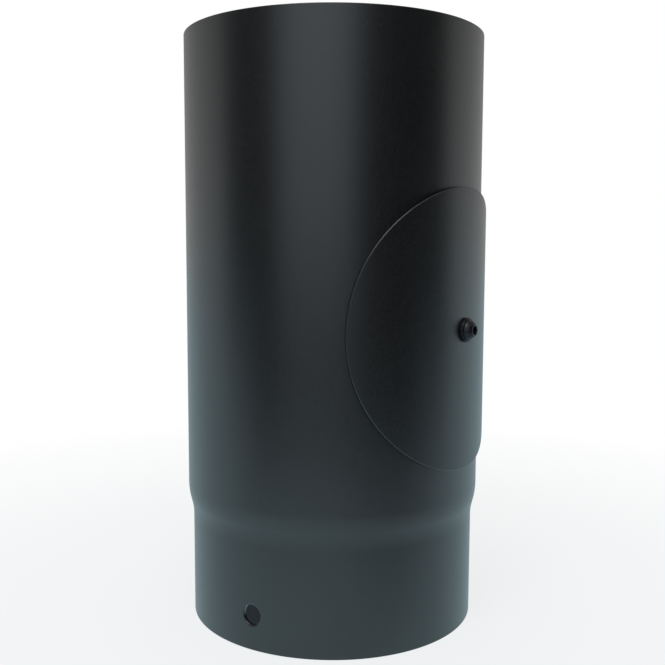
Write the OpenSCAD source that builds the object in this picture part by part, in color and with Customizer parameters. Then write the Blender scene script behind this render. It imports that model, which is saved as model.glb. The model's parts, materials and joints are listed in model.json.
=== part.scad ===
// Stove pipe with a round inspection door, held by one screw and a bar inside the pipe.
// The pipe stands on its spigot along +Z, and the door faces -Y. All sizes are in millimetres.

/* [Pipe] */
// Inside diameter of the pipe, its nominal size
bore_d = 150; // [130:5:200]
// Thickness of the pipe's sheet
wall = 2; // [1.5:0.1:3]
// Whole length, from the spigot's lower rim to the socket's upper rim
pipe_len = 300; // [280:5:600]
// Height of the seam weld's bead on the pipe's outside
bead_h = 0.3; // [0.2:0.1:0.6]
// Width of the seam weld's bead
bead_w = 5; // [3:0.5:8]
// Place of the seam around the pipe, in degrees from the door
seam_angle = 150; // [80:5:190]

/* [Spigot] */
// Radial gap between the spigot and the socket of the next pipe
spigot_gap = 0.5; // [0.3:0.1:1]
// Length of the straight spigot
spigot_len = 52; // [40:1:70]
// Length of the step from the spigot up to the full diameter
swage_len = 18; // [10:1:30]
// Bevel on the spigot's and the socket's outer rim
rim_bevel = 0.4; // [0.2:0.1:0.8]
// Diameter of the round hole in the spigot
hang_hole_d = 10; // [6:0.5:14]
// Height of that hole's centre above the lower rim
hang_hole_z = 17.5; // [12:0.5:30]
// Place of that hole around the pipe, in degrees from the door
hang_hole_angle = -85; // [-170:5:-75]
// Width of the bevel around that hole
hang_hole_bevel = 0.8; // [0.3:0.1:1]

/* [Door] */
// Diameter of the opening, on the sheet before it is rolled
opening_d = 114; // [90:1:120]
// Width by which the cover laps over the edge of the opening
cover_lap = 11.5; // [9:0.5:16]
// Thickness of the cover
cover_t = 1.5; // [1:0.1:3]
// Rounding of the cover's outer rim
cover_edge = 0.6; // [0.3:0.1:0.8]
// Distance from the top of the step to the lower edge of the cover
door_gap = 15.5; // [5:0.5:40]
// Thickness of the gasket
gasket_t = 1.2; // [1:0.1:3]
// Distance by which the gasket stays back from the cover's rim and from the opening
gasket_inset = 1.5; // [0.5:0.1:2.5]

/* [Clamp bar] */
// Width of the bar
bar_w = 25; // [18:1:34]
// Thickness of the bar
bar_t = 4; // [3:0.5:6]
// Length of the bar that lies on the pipe beyond the opening, at each end
bar_lap = 11; // [8:0.5:16]
// Radius of the bar's corners
bar_corner = 4; // [2:0.5:8]
// Gap between the bar's long edges and the pipe
bar_gap = 0.05; // [0.02:0.01:0.3]

/* [Screw] */
// Thread diameter of the screw
screw_d = 6; // [5:1:8]
// Length of the screw under its head
screw_len = 30; // [28:1:50]
// Diameter of the button head
head_d = 10.5; // [9:0.5:14]
// Height of the button head
head_h = 3.3; // [2.5:0.1:4.5]
// Width of the hexagon socket across its flats
socket_w = 4; // [3:0.5:5]
// Depth of the hexagon socket
socket_deep = 2.1; // [1.5:0.1:2.4]
// Gap between the head and the washer
head_gap = 0.02; // [0.01:0.01:0.1]
// Radial gap around the screw in the cover and in the bar
hole_gap = 0.3; // [0.2:0.1:0.6]

/* [Washer and nut] */
// Outside diameter of the washer
washer_d = 12; // [11:0.5:18]
// Thickness of the washer
washer_t = 1.6; // [1:0.1:2.5]
// Radial gap around the screw in the washer
washer_gap = 0.2; // [0.1:0.05:0.4]
// Width of the nut across its flats
nut_w = 10; // [9:0.5:13]
// Height of the nut
nut_h = 5; // [4:0.1:7]
// Radial gap between the screw and the nut's thread
thread_gap = 0.05; // [0.02:0.01:0.08]

/* [Hidden] */

// Radii of the layers, from the bore outwards
bore_r = bore_d / 2;
pipe_r = bore_r + wall;
gasket_r = pipe_r + gasket_t;
cover_r = gasket_r + cover_t;
spigot_r = bore_r - spigot_gap;

// The door's outlines are circles on the flat sheet, measured at half its thickness
cover_d = opening_d + 2 * cover_lap;
gasket_out_d = cover_d - 2 * gasket_inset;
gasket_in_d = opening_d + 2 * gasket_inset;
door_z = spigot_len + swage_len + door_gap + cover_d / 2;

// The clamp, by distance from the pipe's axis along the door's axis
washer_top = cover_r + washer_t;
head_seat = washer_top + head_gap;
bar_top = sqrt(bore_r * bore_r - bar_w * bar_w / 4) - bar_gap;
bar_len = opening_d + 2 * bar_lap;
nut_top = bar_top - bar_t;

// The step is two equal arcs, tangent to each other, to the spigot and to the pipe
step_h = pipe_r - spigot_r;
arc_turn = 2 * atan(step_h / swage_len);
arc_r = swage_len / 2 / sin(arc_turn);
arc_steps = 8;

// Steps around each rolled outline, and how far its cutter reaches past the sheet
rim_steps = 96;
reach = 12;

// Smoothness of the round parts, and how far a cut runs past a face
$fn = 96;
past = 1;

// Points of the step's outer (side = 1) or inner (side = -1) surface, from the spigot up
function step_points(side) = let (half = wall / 2, mid = spigot_r - half) [
    for (i = [0:arc_steps])
        let (turn = arc_turn * i / arc_steps, r = arc_r - side * half)
        [mid + arc_r - r * cos(turn), spigot_len + r * sin(turn)],
    for (i = [arc_steps:-1:0])
        let (turn = arc_turn * i / arc_steps, r = arc_r + side * half)
        [mid + step_h - arc_r + r * cos(turn), spigot_len + swage_len - r * sin(turn)],
];

function reversed(list) = [for (i = [len(list) - 1:-1:0]) list[i]];

// A point of a rolled outline of diameter d, at the polar angle turn on the flat sheet.
// The sheet's middle has the radius sheet_r, and the point lies at the radius r.
function rolled_point(d, sheet_r, r, turn) =
    let (around = d / 2 * cos(turn) / sheet_r * 180 / PI)
    [r * sin(around), -r * cos(around), door_z + d / 2 * sin(turn)];

// Turns local +Z to the door's axis, with heights counted from the pipe's axis
module on_door_axis() {
    translate([0, 0, door_z])
        rotate([90, 0, 0])
            children();
}

// A plug around the door's axis with edges square to the rolled sheet.
// Each row holds a radius and the outline's diameter there, from the inside out.
module rolled_plug(rows, sheet_r) {
    last = len(rows) - 1;
    widest = rows[0][1] / 2 / sheet_r * 180 / PI;
    points = [
        for (row = rows, k = [0:rim_steps - 1])
            rolled_point(row[1], sheet_r, row[0], 360 * k / rim_steps),
        [0, -rows[0][0] * cos(widest), door_z],
        [0, -rows[last][0] / cos(widest), door_z],
    ];
    inner_tip = len(points) - 2;
    outer_tip = len(points) - 1;
    faces = [
        for (k = [0:rim_steps - 1])
            let (n = (k + 1) % rim_steps)
            each [
                [inner_tip, k, n],
                [outer_tip, last * rim_steps + n, last * rim_steps + k],
                for (j = [0:last - 1])
                    let (a = j * rim_steps, b = a + rim_steps)
                    each [[a + k, b + n, a + n], [a + k, b + k, b + n]],
            ],
    ];
    polyhedron(points, faces, convexity = 4);
}

// A plug with straight edges
module plain_plug(d, sheet_r) {
    rolled_plug([[sheet_r - reach, d], [sheet_r + reach, d]], sheet_r);
}

// A tube around the pipe's axis, as tall as the door and a little more
module door_shell(inner, outer) {
    translate([0, 0, door_z - cover_d / 2 - past])
        difference() {
            cylinder(r = outer, h = cover_d + 2 * past);
            translate([0, 0, -past])
                cylinder(r = inner, h = cover_d + 4 * past);
        }
}

// The rolled and swaged tube, without its holes
module tube() {
    rotate_extrude()
        polygon([
            [spigot_r - rim_bevel, 0],
            [spigot_r, rim_bevel],
            each step_points(1),
            [pipe_r, pipe_len - rim_bevel],
            [pipe_r - rim_bevel, pipe_len],
            [bore_r, pipe_len],
            each reversed(step_points(-1)),
            [spigot_r - wall, 0],
        ]);
}

// The seam weld's bead, which is ground flush on the spigot and the step
module seam_bead() {
    bead_r = (bead_w * bead_w / 4 + bead_h * bead_h) / (2 * bead_h);
    foot = spigot_len + swage_len;
    rotate([0, 0, seam_angle])
        translate([0, 0, foot])
            linear_extrude(pipe_len - foot - rim_bevel)
                intersection() {
                    translate([0, bead_r - pipe_r - bead_h])
                        circle(r = bead_r);
                    translate([-bead_w, -pipe_r - 2 * bead_h])
                        square([2 * bead_w, 2 * bead_h + wall / 2]);
                }
}

// The round hole through the spigot, with a bevel at its mouth
module hang_hole() {
    r = hang_hole_d / 2;
    rotate([0, 0, hang_hole_angle])
        translate([0, 0, hang_hole_z])
            rotate([90, 0, 0]) {
                cylinder(r = r, h = pipe_r);
                translate([0, 0, spigot_r - hang_hole_bevel])
                    cylinder(r1 = r, r2 = r + 2 * hang_hole_bevel, h = 2 * hang_hole_bevel);
            }
}

module pipe_body() {
    color("#26292e")
        difference() {
            union() {
                tube();
                seam_bead();
            }
            plain_plug(opening_d, bore_r + wall / 2);
            hang_hole();
        }
}

// The disc of the cover, rolled like the pipe. Two flats round its outer rim: they meet
// at the middle of a quarter circle, and the upper one runs on past the surface.
module door_cover() {
    edge = cover_edge;
    sheet_r = gasket_r + cover_t / 2;
    drop = edge * (1 - sin(45));
    run_on = edge * (edge - drop) / drop;
    color("#202328")
        difference() {
            intersection() {
                door_shell(gasket_r, cover_r);
                rolled_plug([
                    [gasket_r - reach, cover_d],
                    [cover_r - edge, cover_d],
                    [cover_r - drop, cover_d - 2 * drop],
                    [cover_r - drop + edge, cover_d - 2 * (drop + run_on)],
                ], sheet_r);
            }
            on_door_axis()
                cylinder(d = screw_d + 2 * hole_gap, h = cover_r + past);
        }
}

module door_gasket() {
    sheet_r = pipe_r + gasket_t / 2;
    color("#3b3a38")
        difference() {
            intersection() {
                door_shell(pipe_r, gasket_r);
                plain_plug(gasket_out_d, sheet_r);
            }
            plain_plug(gasket_in_d, sheet_r);
        }
}

module screw_washer() {
    color("#1d1f23")
        on_door_axis()
            difference() {
                translate([0, 0, cover_r])
                    cylinder(d = washer_d, h = washer_t);
                translate([0, 0, cover_r - past])
                    cylinder(d = screw_d + 2 * washer_gap, h = washer_t + 2 * past);
            }
}

// Half of the button head's section: a low rim, a dome and a flat top
function head_points() = let (
    rim = head_h * 0.12,
    flat = head_d * 0.27,
    half = head_d / 2,
    centre = (flat * flat + head_h * head_h - half * half - rim * rim) / 2 / (head_h - rim),
    dome = norm([half, rim - centre]),
    from = asin((rim - centre) / dome),
    to = asin((head_h - centre) / dome)
) [
    [0, 0],
    [half - rim / 2, 0],
    [half, rim / 2],
    for (i = [0:10])
        let (turn = from + (to - from) * i / 10)
        [dome * cos(turn), centre + dome * sin(turn)],
    [0, head_h],
];

module door_screw() {
    tip = 0.8;
    color("#1a1b1e")
        on_door_axis() {
            difference() {
                translate([0, 0, head_seat])
                    rotate_extrude()
                        polygon(head_points());
                translate([0, 0, head_seat + head_h - socket_deep])
                    cylinder(d = socket_w / cos(30), h = socket_deep + past, $fn = 6);
            }
            translate([0, 0, head_seat - screw_len + tip])
                cylinder(d = screw_d, h = screw_len - tip);
            translate([0, 0, head_seat - screw_len])
                cylinder(d1 = screw_d - 2 * tip, d2 = screw_d, h = tip);
        }
}

// The bar's outline, with rounded corners
module bar_outline() {
    square([bar_w - 2 * bar_corner, bar_len], center = true);
    square([bar_w, bar_len - 2 * bar_corner], center = true);
    for (x = [-1, 1], y = [-1, 1])
        translate([x * (bar_w / 2 - bar_corner), y * (bar_len / 2 - bar_corner)])
            circle(r = bar_corner);
}

module clamp_bar() {
    color("#6a6d70")
        on_door_axis()
            difference() {
                translate([0, 0, nut_top])
                    linear_extrude(bar_t)
                        bar_outline();
                translate([0, 0, nut_top - past])
                    cylinder(d = screw_d + 2 * hole_gap, h = bar_t + 2 * past);
            }
}

// Half of the section that bevels the nut's free corners by 30 degrees
function nut_bevel_points() = let (
    flat_r = nut_w / 2 * 0.96,
    corner_r = nut_w / 2 / cos(30)
) [
    [0, 0],
    [flat_r, 0],
    [corner_r + past, (corner_r + past - flat_r) * tan(30)],
    [corner_r + past, nut_h],
    [0, nut_h],
];

module clamp_nut() {
    color("#75787a")
        on_door_axis()
            translate([0, 0, nut_top - nut_h])
                difference() {
                    intersection() {
                        cylinder(d = nut_w / cos(30), h = nut_h, $fn = 6);
                        rotate_extrude()
                            polygon(nut_bevel_points());
                    }
                    translate([0, 0, -past])
                        cylinder(d = screw_d + 2 * thread_gap, h = nut_h + 2 * past);
                }
}

pipe_body();
door_cover();
door_gasket();
screw_washer();
door_screw();
clamp_bar();
clamp_nut();
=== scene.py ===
import json
import math

import bmesh
import bpy
from mathutils import Matrix, Vector, noise


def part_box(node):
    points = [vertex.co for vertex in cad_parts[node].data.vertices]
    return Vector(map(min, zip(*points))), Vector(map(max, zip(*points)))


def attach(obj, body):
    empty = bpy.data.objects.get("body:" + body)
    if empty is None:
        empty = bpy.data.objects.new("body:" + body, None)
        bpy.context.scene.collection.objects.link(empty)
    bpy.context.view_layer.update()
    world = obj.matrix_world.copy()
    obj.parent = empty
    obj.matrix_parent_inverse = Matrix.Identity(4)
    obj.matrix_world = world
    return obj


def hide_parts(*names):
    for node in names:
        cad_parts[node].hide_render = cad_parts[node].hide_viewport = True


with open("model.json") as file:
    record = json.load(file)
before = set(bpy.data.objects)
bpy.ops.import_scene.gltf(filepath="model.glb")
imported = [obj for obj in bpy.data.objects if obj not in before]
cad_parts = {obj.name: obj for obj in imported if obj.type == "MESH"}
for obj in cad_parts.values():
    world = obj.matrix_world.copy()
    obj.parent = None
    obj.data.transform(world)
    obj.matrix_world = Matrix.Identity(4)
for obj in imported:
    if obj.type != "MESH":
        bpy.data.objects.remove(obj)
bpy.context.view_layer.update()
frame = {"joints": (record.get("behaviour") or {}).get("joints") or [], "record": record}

MM = 0.001
MOUNTS = {mount["name"]: mount for mount in frame["record"]["mounts"]}
JOINTS = {joint["name"]: joint for joint in frame["joints"]}


def out_range(node):
    """How far a node reaches out from the pipe's axis, along the door's axis: (least, most)."""
    low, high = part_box(node)
    return -high.y, -low.y


# Pipe
PIPE_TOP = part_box("pipe_body")[1].z
PIPE_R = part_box("pipe_body")[1].x
BORE_R = MOUNTS["socket"]["dims"]["r_mm"] * MM
WALL = PIPE_R - BORE_R
SPIGOT_R = MOUNTS["spigot"]["dims"]["r_mm"] * MM
SPIGOT_TOP = MOUNTS["spigot_bore"]["dims"]["length_mm"] * MM
SWAGE_LEN = 18 * MM
RIM_ROUND = 0.4 * MM
INNER_ROUND = 0.2 * MM

# Hanging hole and seam
HOLE_R = MOUNTS["hanging_hole"]["dims"]["r_mm"] * MM
HOLE_Z = MOUNTS["hanging_hole"]["pos_m"][2]
HOLE_ANGLE = math.radians(-85)
HOLE_ROUND = 0.9 * MM
SEAM_ANGLE = math.radians(150)
SEAM_W = 5 * MM
SEAM_H = 0.3 * MM

# Door
DOOR_Z = JOINTS["screw_turn"]["pos_m"][2]
OPENING_R = 57 * MM
COVER_R = (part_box("door_cover")[1].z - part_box("door_cover")[0].z) / 2
COVER_TOP = out_range("door_cover")[1]
COVER_T = 1.5 * MM
COVER_ROUND = 0.6 * MM
CUT_ROUND = 0.15 * MM
GASKET_TOP = COVER_TOP - COVER_T
GASKET_BACK = 1.5 * MM
CLEAR_HOLE_R = 3.3 * MM

# Screw, washer, bar and nut
SCREW_TIP, HEAD_TOP = out_range("door_screw")
HEAD_H = 3.3 * MM
HEAD_SEAT = HEAD_TOP - HEAD_H
HEAD_R = 5.25 * MM
SCREW_R = 3 * MM
THREAD_PITCH = 1 * MM
THREAD_DEEP = 0.6 * MM
SOCKET_W = 4 * MM
SOCKET_DEEP = 2.1 * MM
WASHER_LOW, WASHER_TOP = out_range("screw_washer")
WASHER_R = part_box("screw_washer")[1].x
WASHER_HOLE_R = 3.2 * MM
BAR_LOW, BAR_TOP = out_range("clamp_bar")
BAR_HALF_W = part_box("clamp_bar")[1].x
BAR_HALF_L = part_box("clamp_bar")[1].z - DOOR_Z
BAR_CORNER = 4 * MM
NUT_LOW, NUT_TOP = out_range("clamp_nut")
NUT_W = 10 * MM
NUT_BORE_R = 3.05 * MM

# Fineness of the meshes
COLUMNS = 240
COLUMN_STEP = 2 * math.pi / COLUMNS
RIM_STEPS = 240
ROUND_STEPS = 4
SMALL_STEPS = 96


class Skin:
    """A mesh in the making, whose points have normals of their own."""

    def __init__(self):
        self.points = []
        self.normals = []
        self.faces = []
        self.flat = []

    def row(self, pairs):
        """Adds a row of (point, normal) pairs and returns its numbers."""
        first = len(self.points)
        for point, normal in pairs:
            self.points.append(Vector(point))
            self.normals.append(Vector(normal).normalized())
        return list(range(first, len(self.points)))

    def face(self, corners, flat=False):
        self.faces.append(tuple(corners))
        self.flat.append(flat)

    def band(self, one, other, flat=False, closed=True):
        """Quads between two rows that have as many points."""
        count = len(one) if closed else len(one) - 1
        for k in range(count):
            n = (k + 1) % len(one)
            self.face((one[k], one[n], other[n], other[k]), flat)

    def bands(self, rows, flat=False):
        for one, other in zip(rows, rows[1:]):
            self.band(one, other, flat)

    def fan(self, row, point, normal, flat=False):
        """Triangles from a closed row to one point."""
        tip = self.row([(point, normal)])[0]
        for k in range(len(row)):
            self.face((row[k], row[(k + 1) % len(row)], tip), flat)

    def build(self, name):
        """The Blender object, with every face turned towards its points' normals."""
        faces, loop_normals = [], []
        for corners, flat in zip(self.faces, self.flat):
            a, b, c = (self.points[k] for k in corners[:3])
            across = (c - a).cross(self.points[corners[-1]] - b)
            mean = sum((self.normals[k] for k in corners), Vector())
            if across.dot(mean) < 0:
                corners = corners[::-1]
                across = -across
            faces.append(corners)
            if flat and across.length > 0:
                loop_normals += [across.normalized()] * len(corners)
            else:
                loop_normals += [self.normals[k] for k in corners]
        mesh = bpy.data.meshes.new(name)
        mesh.from_pydata(self.points, [], faces)
        mesh.shade_smooth()
        mesh.normals_split_custom_set(loop_normals)
        return add_object(name, mesh)


def add_object(name, data):
    thing = bpy.data.objects.new(name, data)
    bpy.context.scene.collection.objects.link(thing)
    return thing


def dress(piece, body, slot, material, *nodes):
    """Sets a piece's material and body, and hides the CAD nodes that it stands for; the record slot is not used."""
    piece.data.materials.append(material)
    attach(piece, body)
    if nodes:
        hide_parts(*nodes)


# Places on the pipe and on the door


def outward(angle):
    return Vector((math.sin(angle), -math.cos(angle), 0))


def sideways(angle):
    return Vector((math.cos(angle), math.sin(angle), 0))


UP = Vector((0, 0, 1))


def around(angle, r, z):
    return outward(angle) * r + UP * z


def rolled(turn, reach, r, sheet_r, angle=0.0, z=DOOR_Z):
    """A point of a circle that was drawn on the flat sheet and rolled with it.
    The circle has the radius reach, and turn goes round it. Also its own outward direction."""
    place = angle + reach * math.cos(turn) / sheet_r
    point = around(place, r, z + reach * math.sin(turn))
    away = sideways(place) * math.cos(turn) + UP * math.sin(turn)
    return point, away, outward(place)


def on_door_axis(turn, reach, height):
    """A point at a distance from the door's axis, at a height from the pipe's axis."""
    away = Vector((math.cos(turn), 0, math.sin(turn)))
    return away * reach + Vector((0, -height, DOOR_Z)), away, Vector((0, -1, 0))


# Sections


def rounded(corners, most=1.0):
    """A closed section with rounded corners, as (x, y, normal x, normal y) along it.
    Corners are (x, y, radius), anticlockwise, and no step is longer than most."""
    section = []
    count = len(corners)
    for k, (x, y, radius) in enumerate(corners):
        here = Vector((x, y))
        last = Vector(corners[k - 1][:2])
        following = Vector(corners[(k + 1) % count][:2])
        into = (here - last).normalized()
        onward = (following - here).normalized()
        from_turn = math.atan2(-into.x, into.y)
        turn = math.atan2(into.x * onward.y - into.y * onward.x, into.dot(onward))
        back = radius * math.tan(abs(turn) / 2)
        side = 1 if turn > 0 else -1
        centre = here - into * back - Vector((into.y, -into.x)) * radius * side
        if section:
            section += stretch(section[-1], here - into * back, most)
        for step in range(ROUND_STEPS + 1):
            now = from_turn + turn * step / ROUND_STEPS
            normal = Vector((math.cos(now), math.sin(now)))
            point = centre + normal * radius * side
            section.append((point.x, point.y, normal.x, normal.y))
    first = Vector(section[0][:2])
    return section + stretch(section[-1], first, most)


def stretch(start, end, most):
    """Steps along a straight stretch of a section, without its two ends."""
    begin = Vector(start[:2])
    count = math.ceil((end - begin).length / most)
    steps = []
    for step in range(1, count):
        point = begin.lerp(end, step / count)
        steps.append((point.x, point.y, start[2], start[3]))
    return steps


def sweep(skin, section, place, steps):
    """Closed rings round an axis for each point of a closed section."""
    rows = []
    for x, y, out_x, out_y in section:
        pairs = []
        for k in range(steps):
            point, away, up = place(2 * math.pi * k / steps, x, y)
            pairs.append((point, away * out_x + up * out_y))
        rows.append(skin.row(pairs))
    skin.bands(rows + rows[:1])


# Pipe


def straight(low, high, most):
    """Heights from low to high, in equal steps of at most most, without the last."""
    count = math.ceil((high - low) / most - 1e-6)
    return [low + (high - low) * k / count for k in range(count)]


class Cut:
    """A round hole in the sheet, with the block of the grid of columns and rows round it."""

    def __init__(self, angle, z, radius, sheet_r, columns, outer_round, inner_round, rings):
        self.angle = angle
        self.z = z
        self.radius = radius
        self.sheet_r = sheet_r
        middle = round(angle / COLUMN_STEP)
        self.columns = (middle - columns, middle + columns)
        self.half = columns * COLUMN_STEP * sheet_r
        self.outer_round = outer_round
        self.inner_round = inner_round
        self.rings = rings

    def heights(self):
        steps = self.columns[1] - self.columns[0]
        return straight(self.z - self.half, self.z + self.half, 2 * self.half / steps)

    def holds(self, column, z):
        """True for a grid cell of the block, named by its column and the height of its middle."""
        return self.columns[0] <= column < self.columns[1] and abs(z - self.z) < self.half

    def edge(self, rows):
        """The corners of the block as (row, column), once round."""
        inside = [k for k, row in enumerate(rows) if abs(row[1] - self.z) < self.half + 1e-6]
        low, high = inside[0], inside[-1]
        left, right = self.columns
        return (
            [(low, column) for column in range(left, right)]
            + [(row, right) for row in range(low, high)]
            + [(high, column) for column in range(right, left, -1)]
            + [(row, left) for row in range(high, low, -1)]
        )

    def profile(self):
        """The hole's edge from outside to inside: (radius, share outwards, depth, share away)."""
        steps = []
        for step in range(ROUND_STEPS + 1):
            turn = math.pi / 2 * step / ROUND_STEPS
            reach = self.radius + self.outer_round * (1 - math.sin(turn))
            depth = self.outer_round * (1 - math.cos(turn))
            steps.append((reach, math.cos(turn), depth, -math.sin(turn)))
        for step in range(ROUND_STEPS, -1, -1):
            turn = math.pi / 2 * step / ROUND_STEPS
            reach = self.radius + self.inner_round * (1 - math.sin(turn))
            depth = WALL - self.inner_round * (1 - math.cos(turn))
            steps.append((reach, -math.cos(turn), depth, -math.sin(turn)))
        return steps


DOOR_CUT = Cut(0.0, DOOR_Z, OPENING_R, BORE_R + WALL / 2, 31, CUT_ROUND, CUT_ROUND, 6)
HOLE_CUT = Cut(HOLE_ANGLE, HOLE_Z, HOLE_R, SPIGOT_R - WALL / 2, 4, HOLE_ROUND, CUT_ROUND, 3)


def pipe_rows():
    """The middle of the sheet from the lower to the upper rim: (radius, height, tilt)."""
    low_r = SPIGOT_R - WALL / 2
    high_r = PIPE_R - WALL / 2
    swage_top = SPIGOT_TOP + SWAGE_LEN
    bend = 2 * math.atan((high_r - low_r) / SWAGE_LEN)
    bend_r = SWAGE_LEN / 2 / math.sin(bend)
    hole_z = HOLE_CUT.heights()
    door_z = DOOR_CUT.heights()
    low = straight(RIM_ROUND, hole_z[0], 3 * MM) + hole_z
    low += straight(HOLE_CUT.z + HOLE_CUT.half, SPIGOT_TOP, 4 * MM)
    rows = [(low_r, z, 0.0) for z in low]
    steps = 10
    for k in range(steps):
        tilt = bend * k / steps
        rows.append((low_r + bend_r * (1 - math.cos(tilt)), SPIGOT_TOP + bend_r * math.sin(tilt), tilt))
    for k in range(steps, 0, -1):
        tilt = bend * k / steps
        rows.append((high_r - bend_r * (1 - math.cos(tilt)), swage_top - bend_r * math.sin(tilt), tilt))
    high = straight(swage_top, door_z[0], 5 * MM) + door_z
    high += straight(DOOR_CUT.z + DOOR_CUT.half, PIPE_TOP - RIM_ROUND, 7 * MM)
    return rows + [(high_r, z, 0.0) for z in high + [PIPE_TOP - RIM_ROUND]]


def rim_steps(middle_r, end, up):
    """The rounded rim at one end, from the outer to the inner skin: (radius, height, normal)."""
    steps = []
    for step in range(ROUND_STEPS + 1):
        turn = math.pi / 2 * step / ROUND_STEPS
        r = middle_r + WALL / 2 - RIM_ROUND * (1 - math.cos(turn))
        steps.append((r, end - up * RIM_ROUND * (1 - math.sin(turn)), math.cos(turn), up * math.sin(turn)))
    for step in range(ROUND_STEPS, -1, -1):
        turn = math.pi / 2 * step / ROUND_STEPS
        r = middle_r - WALL / 2 + INNER_ROUND * (1 - math.cos(turn))
        steps.append((r, end - up * INNER_ROUND * (1 - math.sin(turn)), -math.cos(turn), up * math.sin(turn)))
    return steps


def make_pipe(material):
    """The rolled and swaged tube with its two round cuts."""
    skin = Skin()
    rows = pipe_rows()
    made = {}

    def corner(side, row, column):
        key = (side, row, (column + COLUMNS // 2) % COLUMNS)
        if key not in made:
            middle_r, middle_z, tilt = rows[row]
            angle = column * COLUMN_STEP
            normal = (outward(angle) * math.cos(tilt) - UP * math.sin(tilt)) * side
            point = around(angle, middle_r, middle_z) + normal * WALL / 2
            made[key] = skin.row([(point, normal)])[0]
        return made[key]

    for side in (1, -1):
        for row in range(len(rows) - 1):
            middle_z = (rows[row][1] + rows[row + 1][1]) / 2
            for column in range(-COLUMNS // 2, COLUMNS // 2):
                if DOOR_CUT.holds(column, middle_z) or HOLE_CUT.holds(column, middle_z):
                    continue
                cell = [(row, column), (row, column + 1), (row + 1, column + 1), (row + 1, column)]
                skin.face([corner(side, *place) for place in cell])
    for cut in (DOOR_CUT, HOLE_CUT):
        add_cut(skin, cut, rows, corner)
    for row, end, up in ((0, 0.0, -1), (len(rows) - 1, PIPE_TOP, 1)):
        rings = [[corner(1, row, column) for column in range(COLUMNS)]]
        for r, z, out, along in rim_steps(rows[row][0], end, up)[1:]:
            angles = [column * COLUMN_STEP for column in range(COLUMNS)]
            rings.append(skin.row([(around(a, r, z), outward(a) * out + UP * along) for a in angles]))
        rings.append([corner(-1, row, column) for column in range(COLUMNS)])
        skin.bands(rings)
    piece = skin.build("pipe_shell")
    dress(piece, "pipe", "stove_paint", material, "pipe_body")


def add_cut(skin, cut, rows, corner):
    """Rings from the block's outer edge to the hole, through the wall and back inside."""
    edge = cut.edge(rows)
    spots = []
    for row, column in edge:
        along = (column * COLUMN_STEP - cut.angle) * cut.sheet_r
        up = rows[row][1] - cut.z
        spots.append((math.atan2(up, along), math.hypot(along, up)))
    outer_r = cut.sheet_r + WALL / 2
    profile = cut.profile()

    def ring(share, reach, depth, out, away):
        pairs = []
        for turn, far in spots:
            spread = far * (1 - share) + reach * share
            point, away_dir, out_dir = rolled(turn, spread, outer_r - depth, cut.sheet_r, cut.angle, cut.z)
            pairs.append((point, out_dir * out + away_dir * away))
        return skin.row(pairs)

    shares = [k / cut.rings for k in range(1, cut.rings)]
    rings = [[corner(1, *place) for place in edge]]
    rings += [ring(share, profile[0][0], 0.0, 1, 0) for share in shares]
    rings += [ring(1, reach, depth, out, away) for reach, out, depth, away in profile]
    rings += [ring(share, profile[-1][0], WALL, -1, 0) for share in reversed(shares)]
    rings += [[corner(-1, *place) for place in edge]]
    skin.bands(rings)


def make_seam(material):
    """The seam weld's bead, with the fine ripples that a weld leaves along it."""
    skin = Skin()
    foot = SPIGOT_TOP + SWAGE_LEN
    bead_r = (SEAM_W ** 2 / 4 + SEAM_H ** 2) / (2 * SEAM_H)
    ripple = 0.05 * MM
    pitch = 1.1 * MM
    across = 8
    rows = []
    for k in range(int((PIPE_TOP - RIM_ROUND - foot) / (pitch / 4)) + 1):
        z = foot + k * pitch / 4
        pairs = []
        for step in range(across + 1):
            x = SEAM_W * (step / across - 0.5)
            height = math.sqrt(bead_r ** 2 - x ** 2) - bead_r + SEAM_H
            bow = 0.4 * abs(x) - z
            dip = ripple * (0.5 + 0.5 * math.cos(2 * math.pi * bow / pitch)) * height / SEAM_H
            angle = SEAM_ANGLE + x / PIPE_R
            lean = ripple * math.pi / pitch * math.sin(2 * math.pi * bow / pitch) * height / SEAM_H
            normal = outward(angle) + sideways(angle) * x / bead_r + UP * lean
            pairs.append((around(angle, PIPE_R + height - dip, z), normal))
        rows.append(skin.row(pairs))
    for one, other in zip(rows, rows[1:]):
        skin.band(one, other, closed=False)
    dress(skin.build("seam_weld"), "pipe", "stove_paint", material)


# Door


def make_cover(material):
    """The rolled round cover, with a rounded rim and the screw's hole."""
    skin = Skin()
    sheet_r = COVER_TOP - COVER_T / 2
    section = rounded(
        [
            (CLEAR_HOLE_R, COVER_TOP, CUT_ROUND),
            (CLEAR_HOLE_R, GASKET_TOP, CUT_ROUND),
            (COVER_R, GASKET_TOP, CUT_ROUND),
            (COVER_R, COVER_TOP, COVER_ROUND),
        ],
        2.5 * MM,
    )
    sweep(skin, section, lambda turn, x, y: rolled(turn, x, y, sheet_r), RIM_STEPS)
    dress(skin.build("door_cover_shell"), "pipe", "door_paint", material, "door_cover")


def make_gasket(material):
    """The flat fibre ring, cut by hand and a little uneven at its edges."""
    skin = Skin()
    sheet_r = PIPE_R + (GASKET_TOP - PIPE_R) / 2
    inner = OPENING_R + GASKET_BACK
    outer = COVER_R - GASKET_BACK
    edge = 0.3 * MM
    section = rounded(
        [(inner, GASKET_TOP, edge), (inner, PIPE_R, edge), (outer, PIPE_R, edge), (outer, GASKET_TOP, edge)],
        2 * MM,
    )
    uneven = 0.25 * MM

    def place(turn, x, y):
        spot = Vector((math.cos(turn), math.sin(turn), 0)) * 9
        wave = noise.noise(spot) * 0.7 + noise.noise(spot * 5) * 0.3
        return rolled(turn, x - uneven * (0.5 + 0.5 * wave), y, sheet_r)

    sweep(skin, section, place, RIM_STEPS)
    dress(skin.build("door_gasket_ring"), "pipe", "gasket_fibre", material, "door_gasket")


# Screw and washer


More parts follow.
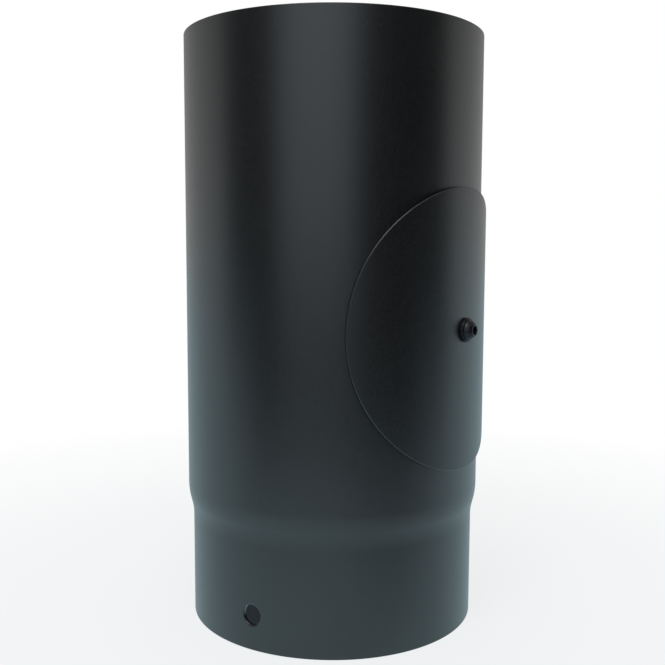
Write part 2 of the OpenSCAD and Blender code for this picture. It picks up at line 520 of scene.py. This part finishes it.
def make_washer(material):
    skin = Skin()
    section = rounded(
        [
            (WASHER_HOLE_R, WASHER_TOP, 0.15 * MM),
            (WASHER_HOLE_R, WASHER_LOW, 0.1 * MM),
            (WASHER_R, WASHER_LOW, 0.1 * MM),
            (WASHER_R, WASHER_TOP, 0.35 * MM),
        ]
    )
    sweep(skin, section, on_door_axis, SMALL_STEPS)
    dress(skin.build("screw_washer_disc"), "pipe", "black_steel", material, "screw_washer")


def hexagon_reach(turn, width):
    """Distance from a hexagon's middle to its outline. Its corners are at turn 0, 60 and so on."""
    sixth = math.pi / 3
    return width / 2 / math.cos((turn % sixth) - sixth / 2)


def make_head(material):
    """The button head, from the bottom of its hexagon socket over the dome to its seat."""
    skin = Skin()
    turns = [2 * math.pi * k / SMALL_STEPS for k in range(SMALL_STEPS)]

    def ring(reach, height, out, up):
        pairs = []
        for turn in turns:
            far = reach(turn) if callable(reach) else reach
            point, away, top = on_door_axis(turn, far, height)
            pairs.append((point, away * out + top * up))
        return skin.row(pairs)

    floor = HEAD_TOP - SOCKET_DEEP
    chamfer = 0.2 * MM
    flat_r = HEAD_R * 0.54
    rim = HEAD_H * 0.12
    drill = ring(SOCKET_W * 0.36, floor, -0.5, 1)
    skin.fan(drill, on_door_axis(0, 0, floor - SOCKET_W * 0.2)[0], Vector((0, -1, 0)))
    base = ring(lambda turn: hexagon_reach(turn, SOCKET_W), floor, 0, 1)
    skin.band(drill, base, flat=True)
    wall_low = ring(lambda turn: hexagon_reach(turn, SOCKET_W), floor, -1, 0)
    wall_top = ring(lambda turn: hexagon_reach(turn, SOCKET_W), HEAD_TOP - chamfer, -1, 0)
    skin.band(wall_low, wall_top, flat=True)
    mouth_low = ring(lambda turn: hexagon_reach(turn, SOCKET_W), HEAD_TOP - chamfer, -1, 1)
    mouth_top = ring(lambda turn: hexagon_reach(turn, SOCKET_W) + chamfer, HEAD_TOP, -1, 1)
    skin.band(mouth_low, mouth_top, flat=True)
    rings = [ring(lambda turn: hexagon_reach(turn, SOCKET_W) + chamfer, HEAD_TOP, 0, 1)]
    centre = (flat_r ** 2 + HEAD_H ** 2 - HEAD_R ** 2 - rim ** 2) / 2 / (HEAD_H - rim)
    dome = math.hypot(HEAD_R, rim - centre)
    top_turn = math.asin((HEAD_H - centre) / dome)
    low_turn = math.asin((rim - centre) / dome)
    lip = 0.12 * MM
    rings.append(ring(flat_r - lip, HEAD_TOP, 0, 1))
    arcs = 14
    for step in range(arcs + 1):
        turn = top_turn + (low_turn - top_turn) * step / arcs
        reach = dome * math.cos(turn)
        rings.append(ring(reach, HEAD_SEAT + centre + dome * math.sin(turn), math.cos(turn), math.sin(turn)))
    rings.append(ring(HEAD_R, HEAD_SEAT + rim / 2, 1, -0.2))
    rings.append(ring(HEAD_R - rim / 2, HEAD_SEAT, 0.4, -1))
    rings.append(ring(SCREW_R * 0.9, HEAD_SEAT, 0, -1))
    skin.bands(rings)
    dress(skin.build("door_screw_head"), "screw", "black_steel", material, "door_screw")


def make_thread(material):
    """The threaded shank: rows that climb one pitch a turn, cut off square at both ends."""
    mesh = bmesh.new()
    steps = 36
    crest = SCREW_R - 0.03 * MM
    profile = [(0.0, crest), (0.125, crest), (0.4375, crest - THREAD_DEEP), (0.6875, crest - THREAD_DEEP)]
    start = SCREW_TIP - 2 * THREAD_PITCH
    turns = int((HEAD_SEAT - start) / THREAD_PITCH) + 1
    point_len = 0.8 * MM
    run_out = 1.5 * MM
    rows = []
    for lap in range(turns):
        for share, reach in profile:
            row = []
            for k in range(steps):
                height = start + THREAD_PITCH * (lap + share + k / steps)
                fade = min(max((HEAD_SEAT - run_out / 2 - height) / run_out, 0), 1)
                full = crest - (crest - reach) * fade
                point = min(full, SCREW_R - point_len + max(height - SCREW_TIP, 0))
                row.append(mesh.verts.new(on_door_axis(-2 * math.pi * k / steps, point, height)[0]))
            rows.append(row)
    for number, row in enumerate(rows[:-len(profile) - 1]):
        above = rows[number + 1]
        for k in range(steps - 1):
            mesh.faces.new((row[k], row[k + 1], above[k + 1], above[k]))
        lap_row, lap_above = rows[number + len(profile)], rows[number + len(profile) + 1]
        mesh.faces.new((row[-1], lap_row[0], lap_above[0], above[-1]))
    for height, side in ((SCREW_TIP, 1), (HEAD_SEAT + 0.2 * MM, -1)):
        everything = mesh.verts[:] + mesh.edges[:] + mesh.faces[:]
        cut = bmesh.ops.bisect_plane(
            mesh, geom=everything, plane_co=(0, -height, 0), plane_no=(0, side, 0), clear_outer=True
        )
        loop = [part for part in cut["geom_cut"] if isinstance(part, bmesh.types.BMEdge)]
        bmesh.ops.edgeloop_fill(mesh, edges=loop)
    loose = [vertex for vertex in mesh.verts if not vertex.link_faces]
    bmesh.ops.delete(mesh, geom=loose, context="VERTS")
    bmesh.ops.recalc_face_normals(mesh, faces=mesh.faces[:])
    data = bpy.data.meshes.new("door_screw_thread")
    mesh.to_mesh(data)
    mesh.free()
    data.shade_smooth()
    data.set_sharp_from_angle(angle=math.radians(25))
    dress(add_object("door_screw_thread", data), "screw", "black_steel", material)


# Bar and nut


def bar_outline(inset):
    """The bar's outline with rounded corners, moved in by inset: (x, up, normal x, normal up)."""
    radius = BAR_CORNER - inset
    outline = []
    per_corner = SMALL_STEPS // 4
    for corner, (x, y) in enumerate(((1, 1), (-1, 1), (-1, -1), (1, -1))):
        for step in range(per_corner):
            turn = math.pi / 2 * (corner + step / (per_corner - 1))
            out = Vector((math.cos(turn), math.sin(turn)))
            centre = Vector((x * (BAR_HALF_W - BAR_CORNER), y * (BAR_HALF_L - BAR_CORNER)))
            point = centre + out * radius
            outline.append((point.x, point.y, out.x, out.y))
    return outline


def make_bar(material):
    """The flat bar, with sheared edges that are a little round, and the screw's hole."""
    skin = Skin()
    edge = 0.4 * MM

    def outline_ring(inset, height, out, up):
        pairs = []
        for x, z, out_x, out_z in bar_outline(inset):
            point = Vector((x, -height, DOOR_Z + z))
            pairs.append((point, Vector((out_x * out, -up, out_z * out))))
        return skin.row(pairs)

    def hole_ring(reach, height, out, up):
        pairs = []
        for x, z, out_x, out_z in bar_outline(0.0):
            point, away, top = on_door_axis(math.atan2(z, x), reach, height)
            pairs.append((point, away * out + top * up))
        return skin.row(pairs)

    rings = []
    for step in range(ROUND_STEPS + 1):
        turn = math.pi / 2 * step / ROUND_STEPS
        inset = edge * (1 - math.sin(turn))
        drop = edge * (1 - math.cos(turn))
        rings.append(outline_ring(inset, BAR_TOP - drop, math.sin(turn), math.cos(turn)))
    for step in range(ROUND_STEPS, -1, -1):
        turn = math.pi / 2 * step / ROUND_STEPS
        inset = edge * (1 - math.sin(turn))
        drop = edge * (1 - math.cos(turn))
        rings.append(outline_ring(inset, BAR_LOW + drop, math.sin(turn), -math.cos(turn)))
    rings.append(hole_ring(CLEAR_HOLE_R + CUT_ROUND, BAR_LOW, 0, -1))
    rings.append(hole_ring(CLEAR_HOLE_R, BAR_LOW + CUT_ROUND, -1, 0))
    rings.append(hole_ring(CLEAR_HOLE_R, BAR_TOP - CUT_ROUND, -1, 0))
    rings.append(hole_ring(CLEAR_HOLE_R + CUT_ROUND, BAR_TOP, 0, 1))
    skin.bands(rings + rings[:1])
    dress(skin.build("clamp_bar_plate"), "bar", "plain_steel", material, "clamp_bar")


def make_nut(material):
    """The hexagon nut, with its free corners bevelled by 30 degrees."""
    skin = Skin()
    turns = [2 * math.pi * k / SMALL_STEPS for k in range(SMALL_STEPS)]
    flat_r = NUT_W / 2 * 0.96
    mouth = 0.4 * MM

    def ring(reach, height, out, up):
        pairs = []
        for turn in turns:
            far = reach(turn) if callable(reach) else reach
            high = height(turn) if callable(height) else height
            point, away, top = on_door_axis(turn, far, high)
            pairs.append((point, away * out + top * up))
        return skin.row(pairs)

    def hexagon(turn):
        return hexagon_reach(turn, NUT_W)

    def bevel_edge(turn):
        return NUT_LOW + (hexagon(turn) - flat_r) * math.tan(math.radians(30))

    skin.band(ring(flat_r, NUT_LOW, 0.5, -1), ring(hexagon, bevel_edge, 0.5, -1))
    skin.band(ring(hexagon, bevel_edge, 1, 0), ring(hexagon, NUT_TOP, 1, 0), flat=True)
    skin.band(ring(hexagon, NUT_TOP, 0, 1), ring(NUT_BORE_R, NUT_TOP, 0, 1))
    skin.band(ring(NUT_BORE_R, NUT_TOP, -1, 0), ring(NUT_BORE_R, NUT_LOW + mouth, -1, 0))
    skin.band(ring(NUT_BORE_R, NUT_LOW + mouth, -1, -1), ring(NUT_BORE_R + mouth, NUT_LOW, -1, -1))
    skin.band(ring(NUT_BORE_R + mouth, NUT_LOW, 0, -1), ring(flat_r, NUT_LOW, 0, -1))
    dress(skin.build("clamp_nut_hexagon"), "bar", "plain_steel", material, "clamp_nut")


def make_nut_welds(material):
    """Two short weld beads that hold the nut to the bar, along its upper and lower flat."""
    skin = Skin()
    leg = 1.3 * MM
    half = 2.4 * MM
    along, across = 40, 8
    for side in (1, -1):
        rows = []
        for k in range(along + 1):
            share = 2 * k / along - 1
            ripple = 0.06 * MM * math.cos(share * half / MM * 2 * math.pi / 0.8)
            size = (leg + ripple) * math.sqrt(max(1 - share ** 4, 0)) + 0.01 * MM
            pairs = []
            for step in range(across + 1):
                turn = math.pi / 2 * step / across
                out = Vector((0, math.sin(turn), side * math.cos(turn)))
                corner = Vector((share * half, -BAR_LOW, DOOR_Z + side * NUT_W / 2))
                pairs.append((corner + out * size * 0.85, out + Vector((share ** 3 * 0.6, 0, 0))))
            rows.append(skin.row(pairs))
        for one, other in zip(rows, rows[1:]):
            skin.band(one, other, closed=False)
    dress(skin.build("nut_weld_beads"), "bar", "plain_steel", material)


# Materials


def new_material(name):
    """An empty material: its node tree, its shader and its object coordinates."""
    material = bpy.data.materials.new(name)
    material.use_nodes = True
    tree = material.node_tree
    tree.nodes.clear()
    shader = tree.nodes.new("ShaderNodeBsdfPrincipled")
    output = tree.nodes.new("ShaderNodeOutputMaterial")
    tree.links.new(shader.outputs["BSDF"], output.inputs["Surface"])
    place = tree.nodes.new("ShaderNodeTexCoord").outputs["Object"]
    return material, tree, shader, place


def grain(tree, place, size, detail=2.0, rough=0.5):
    """Noise whose features are about as long as size."""
    node = tree.nodes.new("ShaderNodeTexNoise")
    node.inputs["Scale"].default_value = 1 / size
    node.inputs["Detail"].default_value = detail
    node.inputs["Roughness"].default_value = rough
    tree.links.new(place, node.inputs["Vector"])
    return node.outputs["Fac"]


def spread(tree, source, low, high, to_low, to_high):
    """The source, stretched from low and high to two other numbers."""
    node = tree.nodes.new("ShaderNodeMapRange")
    node.inputs["From Min"].default_value = low
    node.inputs["From Max"].default_value = high
    node.inputs["To Min"].default_value = to_low
    node.inputs["To Max"].default_value = to_high
    tree.links.new(source, node.inputs["Value"])
    return node.outputs["Result"]


def blend_colours(tree, share, one, other):
    """A colour between two, which are plain colours or other nodes' outputs."""
    node = tree.nodes.new("ShaderNodeMix")
    node.data_type = "RGBA"
    tree.links.new(share, node.inputs["Factor"])
    for name, colour in (("A", one), ("B", other)):
        socket = next(i for i in node.inputs if i.name == name and i.type == "RGBA")
        if isinstance(colour, bpy.types.NodeSocket):
            tree.links.new(colour, socket)
        else:
            socket.default_value = (*colour, 1)
    return next(o for o in node.outputs if o.type == "RGBA")


def relief(tree, height, depth, below=None):
    """A bump of about that depth, on top of another bump's normal."""
    node = tree.nodes.new("ShaderNodeBump")
    node.inputs["Strength"].default_value = 1
    node.inputs["Distance"].default_value = depth
    tree.links.new(height, node.inputs["Height"])
    if below:
        tree.links.new(below, node.inputs["Normal"])
    return node.outputs["Normal"]


def paint(name, dark, light, rough):
    """Sprayed heat-resistant paint: matt black with a fine sandy grain."""
    material, tree, shader, place = new_material(name)
    speckle = grain(tree, place, 0.7 * MM, 3, 0.6)
    cloud = grain(tree, place, 25 * MM, 3)
    tone = spread(tree, speckle, 0.35, 0.65, 0, 1)
    colour = blend_colours(tree, tone, dark, light)
    dusty = blend_colours(tree, spread(tree, cloud, 0.3, 0.7, 0, 0.35), colour, light)
    shader.inputs["Specular IOR Level"].default_value = 0.75
    tree.links.new(dusty, shader.inputs["Base Color"])
    tree.links.new(spread(tree, speckle, 0.3, 0.7, rough - 0.05, rough + 0.05), shader.inputs["Roughness"])
    orange_peel = relief(tree, grain(tree, place, 2.5 * MM), 0.012 * MM)
    tree.links.new(relief(tree, speckle, 0.02 * MM, orange_peel), shader.inputs["Normal"])
    return material


def fibre():
    """Dark glass-fibre sheet, with short soft threads."""
    material, tree, shader, place = new_material("gasket_fibre")
    threads = grain(tree, place, 0.5 * MM, 4, 0.7)
    colour = blend_colours(tree, spread(tree, threads, 0.3, 0.7, 0, 1), (0.008, 0.008, 0.008), (0.045, 0.043, 0.04))
    tree.links.new(colour, shader.inputs["Base Color"])
    shader.inputs["Roughness"].default_value = 0.95
    tree.links.new(relief(tree, threads, 0.15 * MM), shader.inputs["Normal"])
    return material


def black_steel():
    """Blackened steel of the screw and its washer, with a little oil in its sheen."""
    material, tree, shader, place = new_material("black_steel")
    mottle = grain(tree, place, 0.9 * MM, 3)
    colour = blend_colours(tree, spread(tree, mottle, 0.3, 0.7, 0, 1), (0.012, 0.012, 0.014), (0.035, 0.036, 0.04))
    tree.links.new(colour, shader.inputs["Base Color"])
    shader.inputs["Metallic"].default_value = 0.6
    tree.links.new(spread(tree, mottle, 0.3, 0.7, 0.28, 0.42), shader.inputs["Roughness"])
    tree.links.new(relief(tree, grain(tree, place, 0.25 * MM), 0.004 * MM), shader.inputs["Normal"])
    return material


def plain_steel():
    """Rolled steel, dull, with darker scale in patches."""
    material, tree, shader, place = new_material("plain_steel")
    patch = grain(tree, place, 7 * MM, 5, 0.65)
    fine = grain(tree, place, 0.5 * MM, 3)
    colour = blend_colours(tree, spread(tree, patch, 0.35, 0.65, 0, 1), (0.10, 0.10, 0.105), (0.33, 0.33, 0.335))
    tree.links.new(colour, shader.inputs["Base Color"])
    shader.inputs["Metallic"].default_value = 0.9
    tree.links.new(spread(tree, patch, 0.3, 0.7, 0.55, 0.36), shader.inputs["Roughness"])
    tree.links.new(relief(tree, fine, 0.008 * MM), shader.inputs["Normal"])
    return material


# Studio


CAMERA_ANGLE = math.radians(-53.8)
CAMERA_FAR = 486.34 * MM
CAMERA_Z = 197.74 * MM
CAMERA_TURN = math.radians(0.02)
CAMERA_PITCH = math.radians(-5.88)
CAMERA_ROLL = math.radians(0.21)
LENS = 49.415


def make_camera():
    data = bpy.data.cameras.new("camera")
    data.sensor_width = 36
    data.lens = LENS
    data.clip_start = 0.01
    camera = add_object("camera", data)
    turn = Matrix.Rotation(CAMERA_ANGLE + CAMERA_TURN, 4, "Z")
    pitch = Matrix.Rotation(math.pi / 2 + CAMERA_PITCH, 4, "X")
    roll = Matrix.Rotation(CAMERA_ROLL, 4, "Z")
    place = Matrix.Translation(around(CAMERA_ANGLE, CAMERA_FAR, CAMERA_Z))
    camera.matrix_world = place @ turn @ pitch @ roll
    bpy.context.scene.camera = camera


CAMERA_RAYS = ("Is Camera Ray",)
GLOSSY_RAYS = ("Is Glossy Ray", "Is Transmission Ray")


def ray_share(tree, rays):
    """1 for the rays that are named, and else 0."""
    path = tree.nodes.new("ShaderNodeLightPath")
    share = path.outputs[rays[0]]
    for name in rays[1:]:
        share = calculate(tree, "MAXIMUM", share, path.outputs[name])
    return share


def calculate(tree, operation, one, other):
    node = tree.nodes.new("ShaderNodeMath")
    node.operation = operation
    tree.links.new(one, node.inputs[0])
    tree.links.new(other, node.inputs[1])
    return node.outputs["Value"]


def distance_from(tree, place, centre):
    node = tree.nodes.new("ShaderNodeVectorMath")
    node.operation = "DISTANCE"
    tree.links.new(place, node.inputs[0])
    node.inputs[1].default_value = centre
    return node.outputs["Value"]


def mix_shaders(tree, share, one, other):
    node = tree.nodes.new("ShaderNodeMixShader")
    tree.links.new(share, node.inputs["Fac"])
    tree.links.new(one, node.inputs[1])
    tree.links.new(other, node.inputs[2])
    return node.outputs["Shader"]


AMBIENT = 0.35
FLOOR_COLOUR = (0.68, 0.84, 0.95, 1)
# Colour, place and reach of the floor's glow for glossy rays only: a painted pool of bluish light for the paint's
# reflections.
PAINTED_GLOW_COLOUR = (0.68, 0.92, 1.0, 1)
FLOOR_GLOW = 0.8
PAINTED_POOL_SIDE = math.radians(30)
PAINTED_POOL_FAR = 0.2
PAINTED_POOL_REACH = (0.1, 0.36)
PAINTED_GLOW_BACK_SIDE = math.radians(8)
PAINTED_GLOW_BACK_REACH = (0.05, 0.28)
HIGH_GLOSS = 0.6
FLOOR_FADE = 0.5
WINDOW_SIDE = math.radians(12)
WINDOW_RADIANCE = 1.05
WINDOW_COLOUR = (0.80, 0.91, 1.0)
WINDOW_FAR = 1.3
WINDOW_SIZE = (1.35, 1.2)
TOP_RADIANCE = 3.0
CURTAIN_FAR = 1.7
CURTAIN_HIGH = 1.6
CURTAIN_LEFT = math.radians(-85)
CURTAIN_RIGHT = math.radians(90)
# A dark sheet on the floor on the camera's side: painted shade for the unlit floor, seen only in reflections.
SHADE_SHEET_LEFT = math.radians(-55)
SHADE_SHEET_RIGHT = math.radians(60)
SHADE_SHEET_NEAR = 0.45


def make_world():
    world = bpy.data.worlds.new("studio")
    bpy.context.scene.world = world
    world.use_nodes = True
    tree = world.node_tree
    tree.nodes.clear()
    output = tree.nodes.new("ShaderNodeOutputWorld")
    glow = tree.nodes.new("ShaderNodeBackground")
    glow.inputs["Strength"].default_value = AMBIENT
    white = tree.nodes.new("ShaderNodeBackground")
    white.inputs["Color"].default_value = (1, 1, 1, 1)
    soft = tree.nodes.new("ShaderNodeBackground")
    height = tree.nodes.new("ShaderNodeSeparateXYZ")
    tree.links.new(tree.nodes.new("ShaderNodeTexCoord").outputs["Generated"], height.inputs[0])
    tree.links.new(spread(tree, height.outputs["Z"], 0.0, 0.35, 1, HIGH_GLOSS), soft.inputs["Strength"])
    mirrored = mix_shaders(tree, ray_share(tree, GLOSSY_RAYS), glow.outputs[0], soft.outputs[0])
    seen = mix_shaders(tree, ray_share(tree, CAMERA_RAYS), mirrored, white.outputs[0])
    tree.links.new(seen, output.inputs["Surface"])


def make_floor():
    """A pale floor that fades to the white background away from the object. For glossy rays it glows bluish away
    from the camera's side and in a pool to the camera's left: a painted pool of light, which the paint shows as its
    reflection of the floor.
    """
    bpy.ops.mesh.primitive_plane_add(size=8)
    floor = bpy.context.object
    floor.name = "floor"
    material, tree, shader, place = new_material("floor")
    shader.inputs["Base Color"].default_value = FLOOR_COLOUR
    shader.inputs["Roughness"].default_value = 0.9
    output = next(node for node in tree.nodes if node.type == "OUTPUT_MATERIAL")
    from_axis = distance_from(tree, place, (0, 0, 0))
    outside = spread(tree, from_axis, SPIGOT_R - WALL, SPIGOT_R, 0, FLOOR_GLOW)
    fade = spread(tree, from_axis, PIPE_R, FLOOR_FADE, 0, 1 - FLOOR_GLOW)
    glow = calculate(tree, "ADD", outside, fade)
    # Painted pool of light on the floor, centred to the camera's left, seen only in reflections.
    from_pool = distance_from(tree, place, around(CAMERA_ANGLE - PAINTED_POOL_SIDE, PAINTED_POOL_FAR, 0))
    pool = spread(tree, from_pool, *PAINTED_POOL_REACH, 1, 0)
    # The painted glow also covers the floor away from the camera's side.
    forward = tree.nodes.new("ShaderNodeVectorMath")
    forward.operation = "DOT_PRODUCT"
    tree.links.new(place, forward.inputs[0])
    forward.inputs[1].default_value = outward(CAMERA_ANGLE + PAINTED_GLOW_BACK_SIDE)
    behind = spread(tree, forward.outputs["Value"], *PAINTED_GLOW_BACK_REACH, 1, 0)
    mirrored = calculate(tree, "MAXIMUM", pool, behind)
    surface = shader.outputs[0]
    # Glossy rays see the painted glow; camera rays see the floor glowing white, less so near and under the pipe, so
    # that its shadow shows.
    for rays, share, colour in ((GLOSSY_RAYS, mirrored, PAINTED_GLOW_COLOUR), (CAMERA_RAYS, glow, (1, 1, 1, 1))):
        white = tree.nodes.new("ShaderNodeEmission")
        white.inputs["Color"].default_value = colour
        part = calculate(tree, "MULTIPLY", ray_share(tree, rays), share)
        surface = mix_shaders(tree, part, surface, white.outputs[0])
    tree.links.new(surface, output.inputs["Surface"])
    floor.data.materials.append(material)


def make_curtain():
    """A dark curtain behind the camera, which gives the paint its dark stripes, and a dark sheet on the floor on
    the camera's side: painted shade for the unlit floor there, seen only in the paint's reflections.
    """
    mesh = bpy.data.meshes.new("curtain")
    count = 40
    points, faces = [], []
    hanging = (CURTAIN_LEFT, CURTAIN_RIGHT, (CURTAIN_FAR, 0.002), (CURTAIN_FAR, CURTAIN_HIGH))
    # The second part is the dark sheet on the floor: painted shade, seen only in reflections.
    shade_sheet = (SHADE_SHEET_LEFT, SHADE_SHEET_RIGHT, (SHADE_SHEET_NEAR, 0.002), (CURTAIN_FAR, 0.002))
    for left, right, one, other in (hanging, shade_sheet):
        first = len(points)
        for k in range(count + 1):
            angle = CAMERA_ANGLE + left + (right - left) * k / count
            points += [around(angle, *one), around(angle, *other)]
        faces += [(first + k, first + k + 2, first + k + 3, first + k + 1) for k in range(0, 2 * count, 2)]
    mesh.from_pydata(points, [], faces)
    curtain = add_object("curtain", mesh)
    material, tree, shader, place = new_material("curtain")
    shader.inputs["Base Color"].default_value = (0.02, 0.02, 0.02, 1)
    shader.inputs["Roughness"].default_value = 1
    mesh.materials.append(material)
    curtain.visible_camera = False


def make_panel(name, centre, width, height, radiance, colour, upright=True):
    """A soft light panel that faces the pipe."""
    data = bpy.data.lights.new(name, "AREA")
    data.shape = "RECTANGLE"
    data.size = width
    data.size_y = height
    data.energy = radiance * math.pi * width * height
    data.color = colour
    panel = add_object(name, data)
    look = Vector((0, 0, centre.z if upright else PIPE_TOP / 2)) - centre
    panel.matrix_world = Matrix.Translation(centre) @ look.to_track_quat("-Z", "Y").to_matrix().to_4x4()


def make_lights():
    window = CAMERA_ANGLE - WINDOW_SIDE
    middle = around(window, WINDOW_FAR, WINDOW_SIZE[1] / 2 + 0.08)
    make_panel("window", middle, *WINDOW_SIZE, WINDOW_RADIANCE, WINDOW_COLOUR)
    make_panel("overhead", around(window, 0.75, 1.2), 0.9, 0.7, TOP_RADIANCE, (1, 1, 1), False)


def make_pieces():
    stove = paint("stove_paint", (0.006, 0.006, 0.006), (0.013, 0.013, 0.013), 0.36)
    door = paint("door_paint", (0.006, 0.006, 0.006), (0.013, 0.013, 0.013), 0.36)
    black = black_steel()
    plain = plain_steel()
    make_pipe(stove)
    make_seam(stove)
    make_cover(door)
    make_gasket(fibre())
    make_washer(black)
    make_head(black)
    make_thread(black)
    make_bar(plain)
    make_nut(plain)
    make_nut_welds(plain)


bpy.context.scene.view_settings.view_transform = "Standard"
make_camera()
make_world()
make_floor()
make_curtain()
make_lights()
make_pieces()
